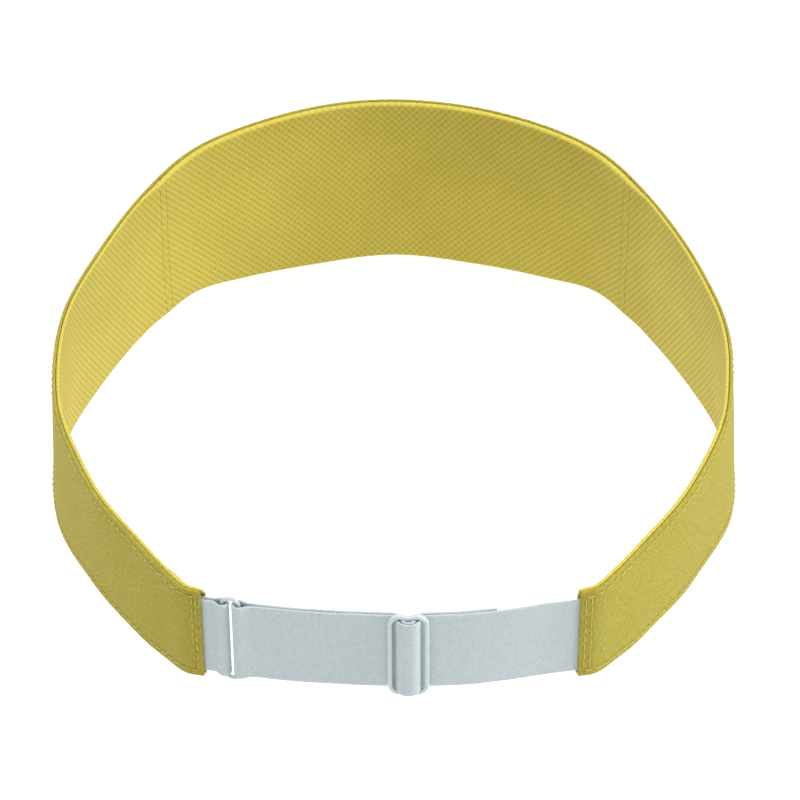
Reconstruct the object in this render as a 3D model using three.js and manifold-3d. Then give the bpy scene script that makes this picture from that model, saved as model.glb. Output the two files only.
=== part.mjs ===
// A sun visor: a three-panel head band, a curved brim, and an elastic back strap that a slider adjusts.
// Millimetres. The brim points to -Y, +Z is up and +X is the wearer's left.
// The origin is the centre of the head opening, a little below the middle of the band's height.

import * as THREE from 'three';
import { mergeVertices } from 'three/addons/utils/BufferGeometryUtils.js';
import Module from 'manifold-3d';

const wasm = await Module();
wasm.setup();

const { lerp, smoothstep } = THREE.MathUtils;

// ---------------------------------------------------------------- driving dimensions

const clearance = 0.3; // between pieces that touch
const fabric = 0.8; // shell, lining and brim covers
const stiffener = 0.6; // buckram inside the front panel
const board = 1.6; // plastic sheet inside the brim
const elastic = 0.7;
const strapWidth = 22.8;
const strapMiddle = 10.4; // height of the strap's centre line

// Outer face of the band in plan, from the middle of the forehead round to the left end. Stations are
// counted along these points: 0 is the forehead, 11 the left end and -11 the right end.
const bandPlan = [
  [0, -99.7], [22, -96.5], [42, -88.2], [58, -75.8], [72, -50.7], [84, -15],
  [83.4, 20], [72.9, 50], [60, 72.2], [52, 83.5], [48, 88.2], [43.6, 90.2],
];
const lastStation = bandPlan.length - 1;
const seamStation = 3.3; // front panel to side panel
const seamHalfGap = 0.006; // in stations, half the clearance between two panels
const pocketStation = 9; // where the ends of the elastic stop between shell and lining

// Heights of the band's edges. The first station mirrors the third, for a level start in front.
const edgeStations = [-1, 0, 1, 2, 3, 4, 5, 6, 7, 8, 9, 11];
const topHeights = [24.7, 25, 24.7, 23.8, 22.1, 21.1, 21.5, 22.3, 23.5, 24.3, 24.6, 24.6];
const lowerHeights = [-27.3, -26.6, -27.3, -25.7, -22.8, -21.8, -20, -15.7, -10.6, -6.5, -4.2, -2.3];
const sideLean = 1.3; // how far the sides' edges lean in at the top and out at the bottom

const brimEndStation = 4;
const brimRootHeight = -23; // top of the brim at the middle of the forehead
const brimPitch = THREE.MathUtils.degToRad(20);
const brimSideDrop = 10.3; // how far the brim falls by its reference half width
const brimReferenceHalfWidth = 72;
const brimTip = 168;
const brimCornerWidth = 3; // how far the rim stands off the band where it ends
const brimSeamInset = 0.6; // the brim's inner edge lies this far under the shell
const brimSeamWidth = 0.045; // share of the brim's length taken by the sewn outer edge

const ringTube = 0.5; // radius
const ringPitch = 3.9; // between the axes of the ring's two long bars
const ringHeight = 26.4;
const ringTabBar = [38.6, 89.9];
const ringStrapBar = [34.75, 90.7];

const sliderCentre = [-4.1, 96];
const sliderWidth = 9.6;
const sliderHeight = 25.4;
const sliderWall = 1;
const sliderDepth = 2;
const sliderCorner = 2.6;
const windowCorner = 1.1;
const sliderNotch = 0.6; // waist in the short sides, where the bar joins them
const windowNotch = 0.15; // the same waist seen in the window
const barHalfWidth = 0.8;
const barDepth = 1;

const tailEnd = -24.5; // the strap's free end lies behind the outer run

// ---------------------------------------------------------------- materials

const cloth = (color, roughness = 0.9) => new THREE.MeshStandardMaterial({ color, roughness, metalness: 0 });
const shellCloth = cloth(0xcdbf70);
const liningCloth = cloth(0xc9b550);
const elasticCloth = cloth(0xc5ced1, 0.8);
const buckram = cloth(0xe9e6dc, 0.85);
const brimPlastic = cloth(0xf1f1ee, 0.5);
const sliderPlastic = cloth(0xdbe4e6, 0.35);

const visor = new THREE.Group();

function addPiece(name, geometry, material) {
  const mesh = new THREE.Mesh(geometry, material);
  mesh.name = name;
  visor.add(mesh);
  return mesh;
}

// ---------------------------------------------------------------- shared geometry helpers

// Moves every vertex of a geometry that is modelled straight to its place on the curved object.
function bend(geometry, place) {
  geometry.deleteAttribute('uv');
  geometry.deleteAttribute('normal');
  const position = geometry.attributes.position;
  for (let i = 0; i < position.count; i += 1) {
    position.setXYZ(i, ...place(position.getX(i), position.getY(i), position.getZ(i)));
  }
  const merged = mergeVertices(geometry, 1e-4);
  merged.computeVertexNormals();
  return merged;
}

function toManifold(geometry) {
  const bare = geometry.clone();
  bare.deleteAttribute('uv');
  bare.deleteAttribute('normal');
  const merged = mergeVertices(bare, 1e-4);
  const vertProperties = new Float32Array(merged.attributes.position.array);
  const triVerts = new Uint32Array(merged.index.array);
  return new wasm.Manifold(new wasm.Mesh({ numProp: 3, vertProperties, triVerts }));
}

function fromManifold(solid) {
  const mesh = solid.getMesh();
  const geometry = new THREE.BufferGeometry();
  geometry.setAttribute('position', new THREE.BufferAttribute(new Float32Array(mesh.vertProperties), 3));
  geometry.setIndex(new THREE.BufferAttribute(new Uint32Array(mesh.triVerts), 1));
  geometry.computeVertexNormals();
  return geometry;
}

// ---------------------------------------------------------------- head band

const mirroredPlan = bandPlan.slice(1).reverse().map(([x, y]) => [-x, y]);
const planCurve = new THREE.CatmullRomCurve3(
  [...mirroredPlan, ...bandPlan].map(([x, y]) => new THREE.Vector3(x, y, 0)),
  false,
  'catmullrom',
  0.5,
);

// A point in plan at a station, offset outwards from the band's outer face.
function bandPoint(station, offset) {
  const t = 0.5 + station / (2 * lastStation);
  const step = 0.001;
  const point = planCurve.getPoint(t);
  const along = planCurve.getPoint(Math.min(t + step, 1)).sub(planCurve.getPoint(Math.max(t - step, 0)));
  along.normalize();
  return [point.x + offset * along.y, point.y - offset * along.x];
}

function brimHeight(x, y) {
  const sideDrop = brimSideDrop * (Math.abs(x) / brimReferenceHalfWidth) ** 4;
  return brimRootHeight + (y - bandPlan[0][1]) * Math.tan(brimPitch) - sideDrop;
}

const topCurve = new THREE.CubicInterpolant(edgeStations, topHeights, 1);
const lowerCurve = new THREE.CubicInterpolant(edgeStations, lowerHeights, 1);
const topEdge = (station) => topCurve.evaluate(Math.abs(station))[0];
const liningLowerEdge = (station) => lowerCurve.evaluate(Math.abs(station))[0];

// The shell ends just above the brim where the brim is sewn in, and reaches down to the lining behind it.
function shellLowerEdge(station) {
  const aboveBrim = brimHeight(...bandPoint(station, -brimSeamInset)) + clearance;
  const behind = smoothstep(Math.abs(station), brimEndStation + 0.3, brimEndStation + 0.7);
  return lerp(aboveBrim, liningLowerEdge(station), behind);
}

// Room between shell and lining: the stiffener in front, the ends of the elastic at the back.
const frontRoom = stiffener + 2 * clearance;
const endRoom = (layers) => layers * elastic + (layers + 1) * clearance;

function liningGap(station) {
  const from = Math.abs(station);
  const front = lerp(frontRoom, clearance, smoothstep(from, seamStation, seamStation + 0.4));
  const end = endRoom(station > 0 ? 2 : 1);
  return lerp(front, end, smoothstep(from, pocketStation - 0.5, pocketStation - 0.1));
}

function leanAt(station) {
  const from = Math.abs(station);
  return sideLean * smoothstep(from, 3.5, 5.1) * (1 - smoothstep(from, 5.6, 7));
}

// A point of the band: how far round, how far out from the outer face, and how high.
function bandPlace(station, out, z) {
  const lower = liningLowerEdge(station);
  const upShare = (z - lower) / (topEdge(station) - lower);
  return [...bandPoint(station, out + leanAt(station) * (1 - 2 * upShare)), z];
}

// A layer of cloth from a lower edge to the top edge.
function plainSheet({ from, to, steps }, offsetAt, lowerEdge) {
  const straight = new THREE.BoxGeometry(fabric, 1, 1, 1, 4, steps);
  return bend(straight, (out, up, along) => {
    const station = lerp(to, from, along + 0.5);
    const z = lerp(lowerEdge(station), topEdge(station), up + 0.5);
    return bandPlace(station, offsetAt(station) + out - fabric / 2, z);
  });
}

// A layer with a profile. Heights count up from the lower edge, or down from the top edge when negative.
function profiledSheet(profile, { from, to, steps }, offsetAt) {
  const farAbove = 1000;
  const shape = new THREE.Shape(profile.map(([out, up]) => new THREE.Vector2(out, up < 0 ? farAbove + up : up)));
  const straight = new THREE.ExtrudeGeometry(shape, { depth: 1, steps, bevelEnabled: false });
  return bend(straight, (out, up, along) => {
    const station = lerp(to, from, along);
    const z = up > farAbove / 2 ? topEdge(station) + up - farAbove : liningLowerEdge(station) + up;
    return bandPlace(station, offsetAt(station) + out, z);
  });
}

const panels = [
  { side: 'right', from: -lastStation, to: -seamStation - seamHalfGap, steps: 26 },
  { side: 'front', from: -seamStation + seamHalfGap, to: seamStation - seamHalfGap, steps: 24 },
  { side: 'left', from: seamStation + seamHalfGap, to: lastStation, steps: 26 },
];

for (const panel of panels) {
  addPiece(`shell_${panel.side}`, plainSheet(panel, () => 0, shellLowerEdge), shellCloth);
}

// The front lining turns outwards over the stiffener at its top and lower edges.
const hemReach = frontRoom - clearance;
const topHem = -0.001; // a hair under the top edge, so that it counts from there
const hemmedProfile = [
  [-fabric, 0], [hemReach, 0], [hemReach, fabric], [0, fabric],
  [0, -fabric], [hemReach, -fabric], [hemReach, topHem], [-fabric, topHem],
];
const liningOffset = (station) => -fabric - liningGap(station);
for (const panel of panels) {
  const sheet = panel.side === 'front'
    ? profiledSheet(hemmedProfile, panel, liningOffset)
    : plainSheet(panel, liningOffset, liningLowerEdge);
  addPiece(`lining_${panel.side}`, sheet, liningCloth);
}

const stiffenerHem = fabric + clearance;
const stiffenerProfile = [
  [-stiffener, stiffenerHem], [0, stiffenerHem], [0, -stiffenerHem], [-stiffener, -stiffenerHem],
];
const stiffenerSpan = { from: 0.1 - seamStation, to: seamStation - 0.1, steps: 24 };
const stiffenerSheet = profiledSheet(stiffenerProfile, stiffenerSpan, () => -fabric - clearance);
addPiece('front_stiffener', stiffenerSheet, buckram);

// ---------------------------------------------------------------- brim

const rimCurve = new THREE.CubicBezierCurve(
  new THREE.Vector2(0, -brimTip),
  new THREE.Vector2(46, -brimTip),
  new THREE.Vector2(100, -112),
  new THREE.Vector2(...bandPoint(brimEndStation + 0.04, brimCornerWidth)),
);

// across runs from -1 at the right corner to 1 at the left one, out from 0 at the band to 1 at the rim.
function brimPoint(across, out) {
  const [rootX, rootY] = bandPoint(across * brimEndStation, -brimSeamInset);
  const rim = rimCurve.getPoint(Math.abs(across));
  return [lerp(rootX, Math.sign(across) * rim.x, out), lerp(rootY, rim.y, out)];
}

// A layer of the brim between two depths under its top face, as functions of how far out they are.
function brimLayer(upperDepth, lowerDepth, outEnd) {
  const acrossSteps = 36;
  const outSteps = 8;
  const straight = new THREE.BoxGeometry(2, 2, 1, acrossSteps, 1, outSteps);
  return bend(straight, (across, side, along) => {
    const share = along + 0.5;
    const inner = 0.75; // share of the steps spent before the sewn edge
    const seam = 1 - brimSeamWidth;
    const out = share < inner ? (share / inner) * seam : lerp(seam, 1, (share - inner) / (1 - inner));
    const [x, y] = brimPoint(across, out * outEnd);
    return [x, y, brimHeight(x, y) - (side > 0 ? upperDepth(out) : lowerDepth(out))];
  });
}

const boardEnd = 1 - brimSeamWidth - 0.01;
const boardTop = fabric + clearance;
const underCoverTop = boardTop + board + clearance;
// Past the board the two covers come together in the sewn edge.
const closing = (out) => smoothstep(out, 1 - brimSeamWidth, 1);
const pinch = (depth) => (out) => lerp(depth, depth - board - clearance, closing(out));

addPiece('brim_cover_top', brimLayer(() => 0, () => fabric, 1), shellCloth);
addPiece('brim_board', brimLayer(() => boardTop, () => boardTop + board, boardEnd), brimPlastic);
addPiece('brim_cover_bottom', brimLayer(pinch(underCoverTop), pinch(underCoverTop + fabric), 1), shellCloth);

// ---------------------------------------------------------------- elastic, modelled as ribbons seen from above

const vectors = (points) => points.map(([x, y]) => new THREE.Vector2(x, y));

// A smooth path in plan through a few points.
function smoothPath(points, steps) {
  return new THREE.SplineCurve(vectors(points)).getPoints(steps);
}

// A path moved sideways, to the right of its direction where the offset is positive.
function offsetPath(path, offset) {
  return path.map((point, i) => {
    const before = path[Math.max(i - 1, 0)];
    const after = path[Math.min(i + 1, path.length - 1)];
    const along = after.clone().sub(before).normalize();
    return new THREE.Vector2(point.x + offset * along.y, point.y - offset * along.x);
  });
}

function ribbon(path) {
  const outline = [...offsetPath(path, elastic / 2), ...offsetPath(path, -elastic / 2).reverse()];
  const geometry = new THREE.ExtrudeGeometry(new THREE.Shape(outline), {
    depth: strapWidth,
    bevelEnabled: false,
  });
  return geometry.translate(0, 0, strapMiddle - strapWidth / 2);
}

const layerPitch = elastic + clearance; // between the centre lines of two layers
const foldRadius = ringTube + clearance + elastic / 2;

// Two layers that follow a path to a bar and fold round it.
function hairpin(path, bar) {
  const last = path[path.length - 1];
  const heading = Math.atan2(bar[1] - last.y, bar[0] - last.x);
  const fold = [];
  const foldSteps = 14;
  const wrap = THREE.MathUtils.degToRad(105);
  for (let i = 0; i <= foldSteps; i += 1) {
    const angle = heading + lerp(-wrap, wrap, i / foldSteps);
    fold.push(new THREE.Vector2(bar[0] + foldRadius * Math.cos(angle), bar[1] + foldRadius * Math.sin(angle)));
  }
  return [...offsetPath(path, layerPitch / 2), ...fold, ...offsetPath(path, -layerPitch / 2).reverse()];
}

const pocketStations = [pocketStation, pocketStation + 1, lastStation];
const leftPocketOffset = -(fabric + endRoom(2) / 2);
const rightPocketOffset = -(fabric + endRoom(1) / 2);

const tabPath = smoothPath(
  [...pocketStations.map((station) => bandPoint(station, leftPocketOffset)), [41, 88.95]],
  9,
);
addPiece('elastic_tab', ribbon(hairpin(tabPath, ringTabBar)), elasticCloth);

// The strap is one length of elastic. It is parted where it moves with the slider or with the ring.
const strapLine = sliderCentre[1] - sliderDepth / 2 - clearance - elastic / 2;
const bightHalfWidth = 4.6;
const partingGap = clearance / 2;
const leftRunStart = sliderCentre[0] + bightHalfWidth + partingGap * 2;
const rightRunStart = sliderCentre[0] - bightHalfWidth - partingGap * 2;
const loopEnd = [31.2, 91.55];

const leftRun = smoothPath([[leftRunStart, strapLine], [11, strapLine - 0.6], [21, strapLine - 1.4], loopEnd], 14);
const rightRun = smoothPath(
  [
    [rightRunStart, strapLine], [-18, strapLine - 0.6], [-27.5, strapLine - 2.1], [-36, strapLine - 4],
    ...pocketStations.map((station) => bandPoint(-station, rightPocketOffset)).reverse(),
  ],
  24,
);
addPiece('strap_outer_left', ribbon(leftRun), elasticCloth);
addPiece('strap_outer_right', ribbon(rightRun), elasticCloth);
addPiece('strap_inner_left', ribbon(offsetPath(leftRun, layerPitch)), elasticCloth);
const tailPath = offsetPath(rightRun, -layerPitch).filter((point) => point.x > tailEnd);
addPiece('strap_tail', ribbon(tailPath), elasticCloth);

const loopPath = smoothPath([[loopEnd[0] + clearance, loopEnd[1] - layerPitch / 2], [33.2, 90.9]], 3);
addPiece('strap_ring_loop', ribbon(hairpin(loopPath, ringStrapBar)), elasticCloth);

// Both layers rise through the slider's window, pass over its bar and go back down.
function bightPath(offset) {
  const radius = 1.5;
  const steep = THREE.MathUtils.degToRad(70);
  const crown = 0.55;
  const arcSteps = 6;
  const top = barDepth - sliderDepth / 2 + clearance * 1.5 + elastic;
  const low = -sliderDepth / 2 - clearance * 1.5 - elastic;
  const fall = 2 * radius * (1 - Math.cos(steep));
  const straight = (top - low - fall) / Math.sin(steep);
  const foot = crown + 2 * radius * Math.sin(steep) + straight * Math.cos(steep);
  const half = [[0, top]];
  for (let i = 0; i <= arcSteps; i += 1) {
    const angle = (steep * i) / arcSteps;
    half.push([crown + radius * Math.sin(angle), top - radius + radius * Math.cos(angle)]);
  }
  for (let i = arcSteps; i >= 0; i -= 1) {
    const angle = (steep * i) / arcSteps;
    half.push([foot - radius * Math.sin(angle), low + radius - radius * Math.cos(angle)]);
  }
  half.push([bightHalfWidth, low]);
  const mirrored = half.slice(1).reverse().map(([x, y]) => [-x, y]);
  return offsetPath(vectors([...mirrored, ...half]), offset)
    .map((point) => new THREE.Vector2(point.x + sliderCentre[0], point.y + sliderCentre[1]));
}
addPiece('strap_bight_outer', ribbon(bightPath(-layerPitch / 2)), elasticCloth);
addPiece('strap_bight_inner', ribbon(bightPath(layerPitch / 2)), elasticCloth);

// ---------------------------------------------------------------- ring

// A torus pulled apart into a long loop with half-round ends.
function ringLoop() {
  const radius = ringPitch / 2;
  const stretch = ringHeight / 2 - radius - ringTube;
  const torus = new THREE.TorusGeometry(radius, ringTube, 10, 22);
  torus.rotateZ(Math.PI / 22);
  return bend(torus, (across, up, out) => [across, out, up + Math.sign(up) * stretch]);
}
const ringTurn = Math.atan2(ringTabBar[1] - ringStrapBar[1], ringTabBar[0] - ringStrapBar[0]);
const ring = addPiece('ring', flipped(ringLoop()), sliderPlastic);
ring.position.set(
  (ringTabBar[0] + ringStrapBar[0]) / 2,
  (ringTabBar[1] + ringStrapBar[1]) / 2,
  strapMiddle,
);
ring.rotation.z = ringTurn;

// Turns a geometry's faces round after a bend that mirrored it.
function flipped(geometry) {
  const index = geometry.index;
  for (let i = 0; i < index.count; i += 3) {
    const second = index.getX(i + 1);
    index.setX(i + 1, index.getX(i + 2));
    index.setX(i + 2, second);
  }
  geometry.computeVertexNormals();
  return geometry;
}

// ---------------------------------------------------------------- slider

// A rounded rectangle with a shallow waist in its short sides.
function roundedOutline(halfWidth, halfHeight, corner, notch) {
  const shape = new THREE.Shape();
  shape.moveTo(halfWidth, 0);
  shape.lineTo(halfWidth, halfHeight - corner);
  shape.absarc(halfWidth - corner, halfHeight - corner, corner, 0, Math.PI / 2);
  shape.quadraticCurveTo(barHalfWidth, halfHeight - notch * 0.2, 0, halfHeight - notch);
  shape.quadraticCurveTo(-barHalfWidth, halfHeight - notch * 0.2, corner - halfWidth, halfHeight);
  shape.absarc(corner - halfWidth, halfHeight - corner, corner, Math.PI / 2, Math.PI);
  shape.lineTo(-halfWidth, corner - halfHeight);
  shape.absarc(corner - halfWidth, corner - halfHeight, corner, Math.PI, Math.PI * 1.5);
  shape.quadraticCurveTo(-barHalfWidth, notch * 0.2 - halfHeight, 0, notch - halfHeight);
  shape.quadraticCurveTo(barHalfWidth, notch * 0.2 - halfHeight, halfWidth - corner, -halfHeight);
  shape.absarc(halfWidth - corner, corner - halfHeight, corner, Math.PI * 1.5, Math.PI * 2);
  return shape;
}

function sliderMoulding() {
  const outline = roundedOutline(sliderWidth / 2, sliderHeight / 2, sliderCorner, sliderNotch);
  const window = roundedOutline(
    sliderWidth / 2 - sliderWall,
    sliderHeight / 2 - sliderWall,
    windowCorner,
    windowNotch,
  );
  outline.holes.push(new THREE.Path(window.getPoints(6).reverse()));
  const frame = new THREE.ExtrudeGeometry(outline, { depth: sliderDepth, curveSegments: 6, bevelEnabled: false });
  frame.translate(0, 0, -sliderDepth / 2);
  const barLength = sliderHeight - 2 * sliderNotch - (sliderWall - sliderNotch + windowNotch);
  const bar = new THREE.BoxGeometry(2 * barHalfWidth, barLength, barDepth);
  bar.translate(0, 0, (barDepth - sliderDepth) / 2);
  const whole = fromManifold(toManifold(frame).add(toManifold(bar)));
  // Up in the drawing becomes up on the strap, and its front faces backwards, away from the head.
  return whole.rotateX(Math.PI / 2).rotateZ(Math.PI);
}
const slider = addPiece('slider', sliderMoulding(), sliderPlastic);
slider.position.set(sliderCentre[0], sliderCentre[1], strapMiddle);

export default visor;
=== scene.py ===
import math

import bpy
import numpy as np
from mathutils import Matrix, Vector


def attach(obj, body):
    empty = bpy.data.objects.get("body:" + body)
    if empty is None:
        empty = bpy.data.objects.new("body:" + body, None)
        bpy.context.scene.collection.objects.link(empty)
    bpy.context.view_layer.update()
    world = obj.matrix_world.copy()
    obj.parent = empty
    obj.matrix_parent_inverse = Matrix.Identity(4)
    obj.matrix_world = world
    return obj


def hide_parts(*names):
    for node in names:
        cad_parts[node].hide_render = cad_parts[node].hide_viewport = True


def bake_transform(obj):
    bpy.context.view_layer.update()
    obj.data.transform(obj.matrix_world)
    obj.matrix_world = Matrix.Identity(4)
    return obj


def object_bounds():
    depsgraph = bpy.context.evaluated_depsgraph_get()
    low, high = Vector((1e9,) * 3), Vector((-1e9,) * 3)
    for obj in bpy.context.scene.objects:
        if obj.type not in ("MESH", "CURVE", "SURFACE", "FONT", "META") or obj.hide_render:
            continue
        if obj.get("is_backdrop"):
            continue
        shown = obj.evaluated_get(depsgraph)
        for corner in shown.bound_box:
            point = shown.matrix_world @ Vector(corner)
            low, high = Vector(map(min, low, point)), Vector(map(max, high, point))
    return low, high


# A fabric sun visor. Lengths in this script are millimetres until a mesh is made, which is in metres.
# +Z is up, the brim points to -Y, and +X is the wearer's left.

MM = 0.001
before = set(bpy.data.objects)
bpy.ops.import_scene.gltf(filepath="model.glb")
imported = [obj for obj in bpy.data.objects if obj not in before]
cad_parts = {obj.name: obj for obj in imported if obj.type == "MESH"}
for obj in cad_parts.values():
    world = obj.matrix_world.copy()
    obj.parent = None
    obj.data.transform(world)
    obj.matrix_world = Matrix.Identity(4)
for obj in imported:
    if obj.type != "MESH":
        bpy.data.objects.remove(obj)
CAD_LOW, CAD_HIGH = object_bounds()
rng = np.random.default_rng(7)

# ---------------------------------------------------------------- camera

# Fitted to the photo.
camera_data = bpy.data.cameras.new("camera")
camera_data.lens = 162.9
camera_data.sensor_width = 36.0
camera_data.clip_start = 0.05
camera = bpy.data.objects.new("camera", camera_data)
camera.location = (-0.00715, 0.68416, 0.59888)
camera.rotation_euler = (0.855711, 0.003686, 3.146397)
bpy.context.scene.collection.objects.link(camera)
bpy.context.scene.camera = camera

# ---------------------------------------------------------------- sizes

# Most are the CAD source's. Cloth that touches fits closer here, where the CAD source leaves its clearance.
# The slider's wall, its rim's depth, the waves, the ribs and the split are the visual model's own.

FABRIC = 0.8
GAP = 0.3
STIFFENER = 0.6
BOARD = 1.6
ELASTIC = 0.7
STRAP_WIDTH = 22.8
STRAP_MIDDLE = 10.4
PLAN = [
    (0, -99.7), (22, -96.5), (42, -88.2), (58, -75.8), (72, -50.7), (84, -15),
    (83.4, 20), (72.9, 50), (60, 72.2), (52, 83.5), (48, 88.2), (43.6, 90.2),
]
LAST = len(PLAN) - 1
SEAM = 3.3
SEAM_HALF_GAP = 0.0004  # in stations
POCKET = 9  # the station where the elastic's ends stop between shell and lining
# Between shell and lining at the ends, for two layers of elastic and for one.
POCKET_ROOM = {1: 1.66, -1: 0.78}
EDGE_STATIONS = [-1, 0, 1, 2, 3, 4, 5, 6, 7, 8, 9, 11]
TOP_HEIGHTS = [24.7, 25, 24.7, 23.8, 22.1, 21.1, 21.5, 22.3, 23.5, 24.3, 24.6, 24.6]
LOWER_HEIGHTS = [-27.3, -26.6, -27.3, -25.7, -22.8, -21.8, -20, -15.7, -10.6, -6.5, -4.2, -2.3]
SIDE_LEAN = 1.3
LONG_WAVE, SHORT_WAVE = 0.16, 0.10  # the slight waves of soft cloth, for looks only
BRIM_END = 4
BRIM_ROOT_HEIGHT = -23
BRIM_PITCH = math.radians(20)
BRIM_SIDE_DROP = 10.3
BRIM_HALF_WIDTH = 72
BRIM_SEAM_INSET = 0.6
SHELL_OVER_BRIM = 0.12
SHELL_STEP = (BRIM_END + 0.3, BRIM_END + 0.7)  # stations over which the shell's edge leaves the brim
RIM = [(0, -168), (46, -168), (100, -112)]
RIM_CORNER_WIDTH = 3
RING_TUBE = 0.5
RING_HEIGHT = 26.4
RING_TAB_BAR = np.array([38.6, 89.9])
RING_STRAP_BAR = np.array([34.75, 90.7])
SLIDER = np.array([-4.1, 96.0])
SLIDER_WIDTH = 9.6
SLIDER_HEIGHT = 25.4
SLIDER_DEPTH = 2.0
SLIDER_WALL = 1.1
FRAME_DEPTH = 1.25  # the slider's rim, which the strap bulges out of
BAR_DEPTH = 1.0
TAIL_END = -24.5
LOOP_END = np.array([31.2, 91.55])
SPLIT_X = 20.0  # where the loop round the ring takes over from the left runs
RIB = 0.95  # pitch of the elastic's ribs
LAYER_PITCH = 0.88  # between the centre lines of two layers of elastic that touch

# ---------------------------------------------------------------- curves


def smoothstep(x, low, high):
    t = np.clip((np.asarray(x, float) - low) / (high - low), 0, 1)
    return t * t * (3 - 2 * t)


def unit(vectors):
    return vectors / np.linalg.norm(vectors, axis=1)[:, None]


def lengths_along(path):
    return np.r_[0, np.cumsum(np.linalg.norm(np.diff(path, axis=0), axis=1))]


def catmull(points, per_span, extend):
    """Points of a Catmull-Rom curve. extend says whether its ends run on straight or start level."""
    p = np.array(points, float)
    first = 2 * p[0] - p[1] if extend else p[0]
    final = 2 * p[-1] - p[-2] if extend else p[-1]
    q = np.vstack([first, p, final])
    out = []
    for i in range(len(p) - 1):
        p0, p1, p2, p3 = q[i : i + 4]
        w = np.arange(per_span)[:, None] / per_span
        t0, t1 = (p2 - p0) / 2, (p3 - p1) / 2
        out.append(p1 + t0 * w + (3 * (p2 - p1) - 2 * t0 - t1) * w**2 + (2 * (p1 - p2) + t0 + t1) * w**3)
    return np.vstack([*out, p[-1:]])


full_plan = [(-x, y) for x, y in PLAN[:0:-1]] + PLAN
plan_points = catmull(full_plan, 200, True)
plan_stations = np.linspace(-LAST, LAST, len(plan_points))
plan_tangents = unit(np.gradient(plan_points, axis=0))
plan_arcs = lengths_along(plan_points)
plan_arcs -= plan_arcs[len(plan_arcs) // 2]


def arc_of(station):
    return np.interp(station, plan_stations, plan_arcs)


def station_of(arc):
    return np.interp(arc, plan_arcs, plan_stations)


def band_xy(station, out):
    """Points in plan, out from the band's outer face."""
    x = np.interp(station, plan_stations, plan_points[:, 0])
    y = np.interp(station, plan_stations, plan_points[:, 1])
    tx = np.interp(station, plan_stations, plan_tangents[:, 0])
    ty = np.interp(station, plan_stations, plan_tangents[:, 1])
    return np.stack([x + out * ty, y - out * tx], -1)


def edge_table(heights):
    """The cubic interpolation that the CAD source uses, as a table over the stations from 0 up."""
    s, v = EDGE_STATIONS, heights
    stations = np.linspace(0, LAST, 1101)
    out = []
    for t in stations:
        i = min(max(k for k in range(len(s)) if s[k] <= t + 1e-9), len(s) - 2)
        width = s[i + 1] - s[i]
        half = width / 2
        before = half / (s[i] - s[i - 1])
        last = i + 2 >= len(s)
        after = -0.5 if last else half / (s[i + 2] - s[i + 1])
        v_next = v[i] if last else v[i + 2]
        p = (t - s[i]) / width
        out.append(
            (-before * p**3 + 2 * before * p**2 - before * p) * v[i - 1]
            + ((1 + before) * p**3 + (-1.5 - 2 * before) * p**2 + (-0.5 + before) * p + 1) * v[i]
            + ((-1 - after) * p**3 + (1.5 + after) * p**2 + 0.5 * p) * v[i + 1]
            + (after * p**3 - after * p**2) * v_next
        )
    return stations, np.array(out)


top_table, lower_table = edge_table(TOP_HEIGHTS), edge_table(LOWER_HEIGHTS)


def top_edge(station):
    return np.interp(np.abs(station), *top_table)


def lining_lower_edge(station):
    return np.interp(np.abs(station), *lower_table)


def brim_height(x, y):
    drop = BRIM_SIDE_DROP * (np.abs(x) / BRIM_HALF_WIDTH) ** 4
    return BRIM_ROOT_HEIGHT + (y - PLAN[0][1]) * math.tan(BRIM_PITCH) - drop


def shell_lower_edge(station):
    xy = band_xy(station, -BRIM_SEAM_INSET)
    above = brim_height(xy[..., 0], xy[..., 1]) + SHELL_OVER_BRIM
    behind = smoothstep(np.abs(station), *SHELL_STEP)
    return above + (lining_lower_edge(station) - above) * behind


def lining_gap(station):
    """From shell to lining: room for the stiffener in front and for the elastic at the ends."""
    from_front = np.abs(station)
    front = STIFFENER + 2 * GAP
    end = np.where(np.asarray(station) > 0, POCKET_ROOM[1], POCKET_ROOM[-1])
    side = front + (GAP - front) * smoothstep(from_front, SEAM, SEAM + 0.4)
    return side + (end - side) * smoothstep(from_front, POCKET - 0.5, POCKET - 0.1)


def pinch(station, z):
    """How far a pocket's lining comes back to the shell above and below the elastic."""
    from_front = np.abs(station)
    pouch = np.where(from_front > SEAM + 0.5, lining_gap(station) - GAP, 0)
    above, below = top_edge(station) - z, z - lining_lower_edge(station)
    return pouch * (1 - smoothstep(above, 0.3, 2.6) * smoothstep(below, 0.2, 1.4))


def lean(station):
    """How far the sides' edges lean, in at the top and out at the bottom."""
    from_front = np.abs(station)
    return SIDE_LEAN * smoothstep(from_front, 3.5, 5.1) * (1 - smoothstep(from_front, 5.6, 7))


def band_place(station, out, z):
    """Points of the band, leaned and with the slight waves that soft cloth has."""
    lower, top = lining_lower_edge(station), top_edge(station)
    share = (z - lower) / (top - lower)
    arc = arc_of(station)
    wave = LONG_WAVE * np.sin(arc / 11.3 + 0.6) * np.sin(z / 9.0 + arc / 31.0)
    wave = wave + SHORT_WAVE * np.sin(arc / 6.1 - z / 7.5 + 1.9)
    wave = wave * (1 - smoothstep(np.abs(station), POCKET - 1, POCKET - 0.1))  # flat round the elastic
    xy = band_xy(station, out + lean(station) * (1 - 2 * share) + wave)
    return np.concatenate([xy, np.broadcast_to(z, xy.shape[:-1])[..., None]], -1)


# ---------------------------------------------------------------- meshes


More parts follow.
